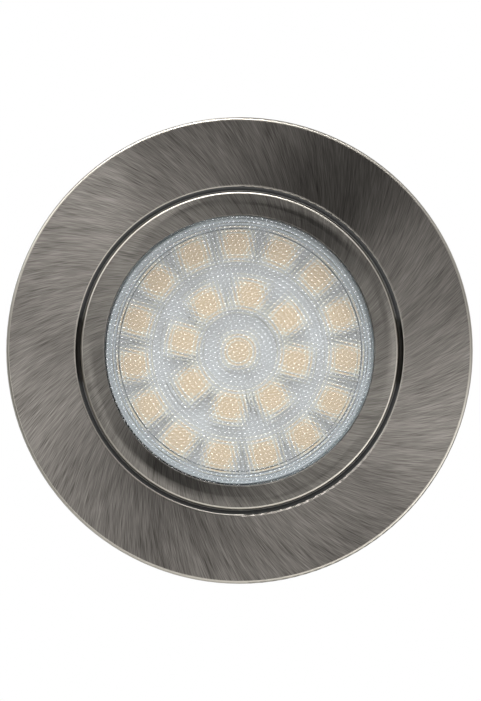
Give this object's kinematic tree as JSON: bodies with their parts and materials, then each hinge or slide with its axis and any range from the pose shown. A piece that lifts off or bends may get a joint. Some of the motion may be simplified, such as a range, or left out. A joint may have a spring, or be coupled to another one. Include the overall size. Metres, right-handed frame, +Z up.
{
  "type": "recessed spotlight",
  "caption": "Round recessed tilting spotlight with a brushed metal trim, a ball-sided tilting ring, a clear domed lens over light-emitting diodes, a finned heat sink and sprung panel clips.",
  "frame": {"origin": "centre of the cut-out collar, in the plane of the panel's face that the trim lies on", "axes": "+Y into the cut-out, away from the lit face; X along the tilt axis through both clips; +Z up in the picture"},
  "size_m": [0.082, 0.0284, 0.082],
  "materials": {
    "brushed_metal": "brushed gunmetal plating on a zinc casting, clear lacquered",
    "gasket_rubber": "closed-cell foam rubber, black",
    "pivot_steel": "zinc-plated steel",
    "washer_nylon": "natural nylon",
    "spring_steel": "bright spring wire",
    "lens_plastic": "clear moulded acrylic with a domed texture",
    "seal_rubber": "grey silicone",
    "board_mask": "white solder mask on an aluminium board",
    "package_plastic": "white reflective resin",
    "phosphor": "yellow phosphor in silicone",
    "pad_silicone": "grey-blue thermal silicone",
    "heat_sink_alloy": "bead-blasted casting",
    "tinned_brass": "tinned",
    "insulator": "natural moulded insulator",
    "driver_laminate": "green solder mask on glass laminate",
    "chip_epoxy": "black moulded epoxy",
    "capacitor_sleeve": "dark heat-shrunk sleeve",
    "film_case": "ochre moulded case",
    "ferrite": "ferrite core with enamelled winding",
    "resistor_body": "blue-grey coated body",
    "cover_plastic": "white flame-retardant moulding",
    "screw_steel": "zinc-plated steel",
    "grommet_rubber": "black moulded rubber",
    "clip_steel": "galvanised sheet",
    "pad_rubber": "black soft sleeve"
  },
  "bodies": {
    "frame": {"trim_frame": "brushed_metal", "panel_gasket": "gasket_rubber", "pivot_screws": "pivot_steel", "pivot_washers": "washer_nylon", "clip_pins": "pivot_steel", "clip_spring_right": "spring_steel", "clip_spring_left": "spring_steel"},
    "lamp": {"tilt_ring": "brushed_metal", "retaining_ring": "spring_steel", "lens": "lens_plastic", "lens_seal": "seal_rubber", "led_board": "board_mask", "led_packages": "package_plastic", "led_phosphors": "phosphor", "thermal_pad": "pad_silicone", "heat_sink": "heat_sink_alloy", "contact_pins": "tinned_brass", "pin_bushes": "insulator", "driver_liner": "insulator", "driver_board": "driver_laminate", "bridge_rectifier": "chip_epoxy", "smoothing_capacitor": "capacitor_sleeve", "film_capacitor": "film_case", "inductor": "ferrite", "fuse_resistor": "resistor_body", "driver_chip": "chip_epoxy", "rear_cover": "cover_plastic", "cover_screws": "screw_steel", "cable_grommet": "grommet_rubber"},
    "clip_right": {"clip_arm_right": "clip_steel", "clip_pad_right": "pad_rubber"},
    "clip_left": {"clip_arm_left": "clip_steel", "clip_pad_left": "pad_rubber"}
  },
  "joints": [
    {"name": "lamp_tilt", "type": "hinge", "parent": "frame", "child": "lamp", "pos_m": [0, 0.0065, 0], "axis": [1, 0, 0], "range_deg": [-20, 20]},
    {"name": "clip_right_fold", "type": "hinge", "parent": "frame", "child": "clip_right", "pos_m": [0.0296, 0.01402, 0], "axis": [0, 0, 1], "range_deg": [0, 125], "stiffness_Nm_per_rad": 0.03, "springref_deg": -114.59, "deforming": ["clip_spring_right"]},
    {"name": "clip_left_fold", "type": "hinge", "parent": "frame", "child": "clip_left", "pos_m": [-0.0296, 0.01402, 0], "axis": [0, 0, -1], "range_deg": [0, 125], "stiffness_Nm_per_rad": 0.03, "springref_deg": -114.59, "deforming": ["clip_spring_left"]}
  ]
}
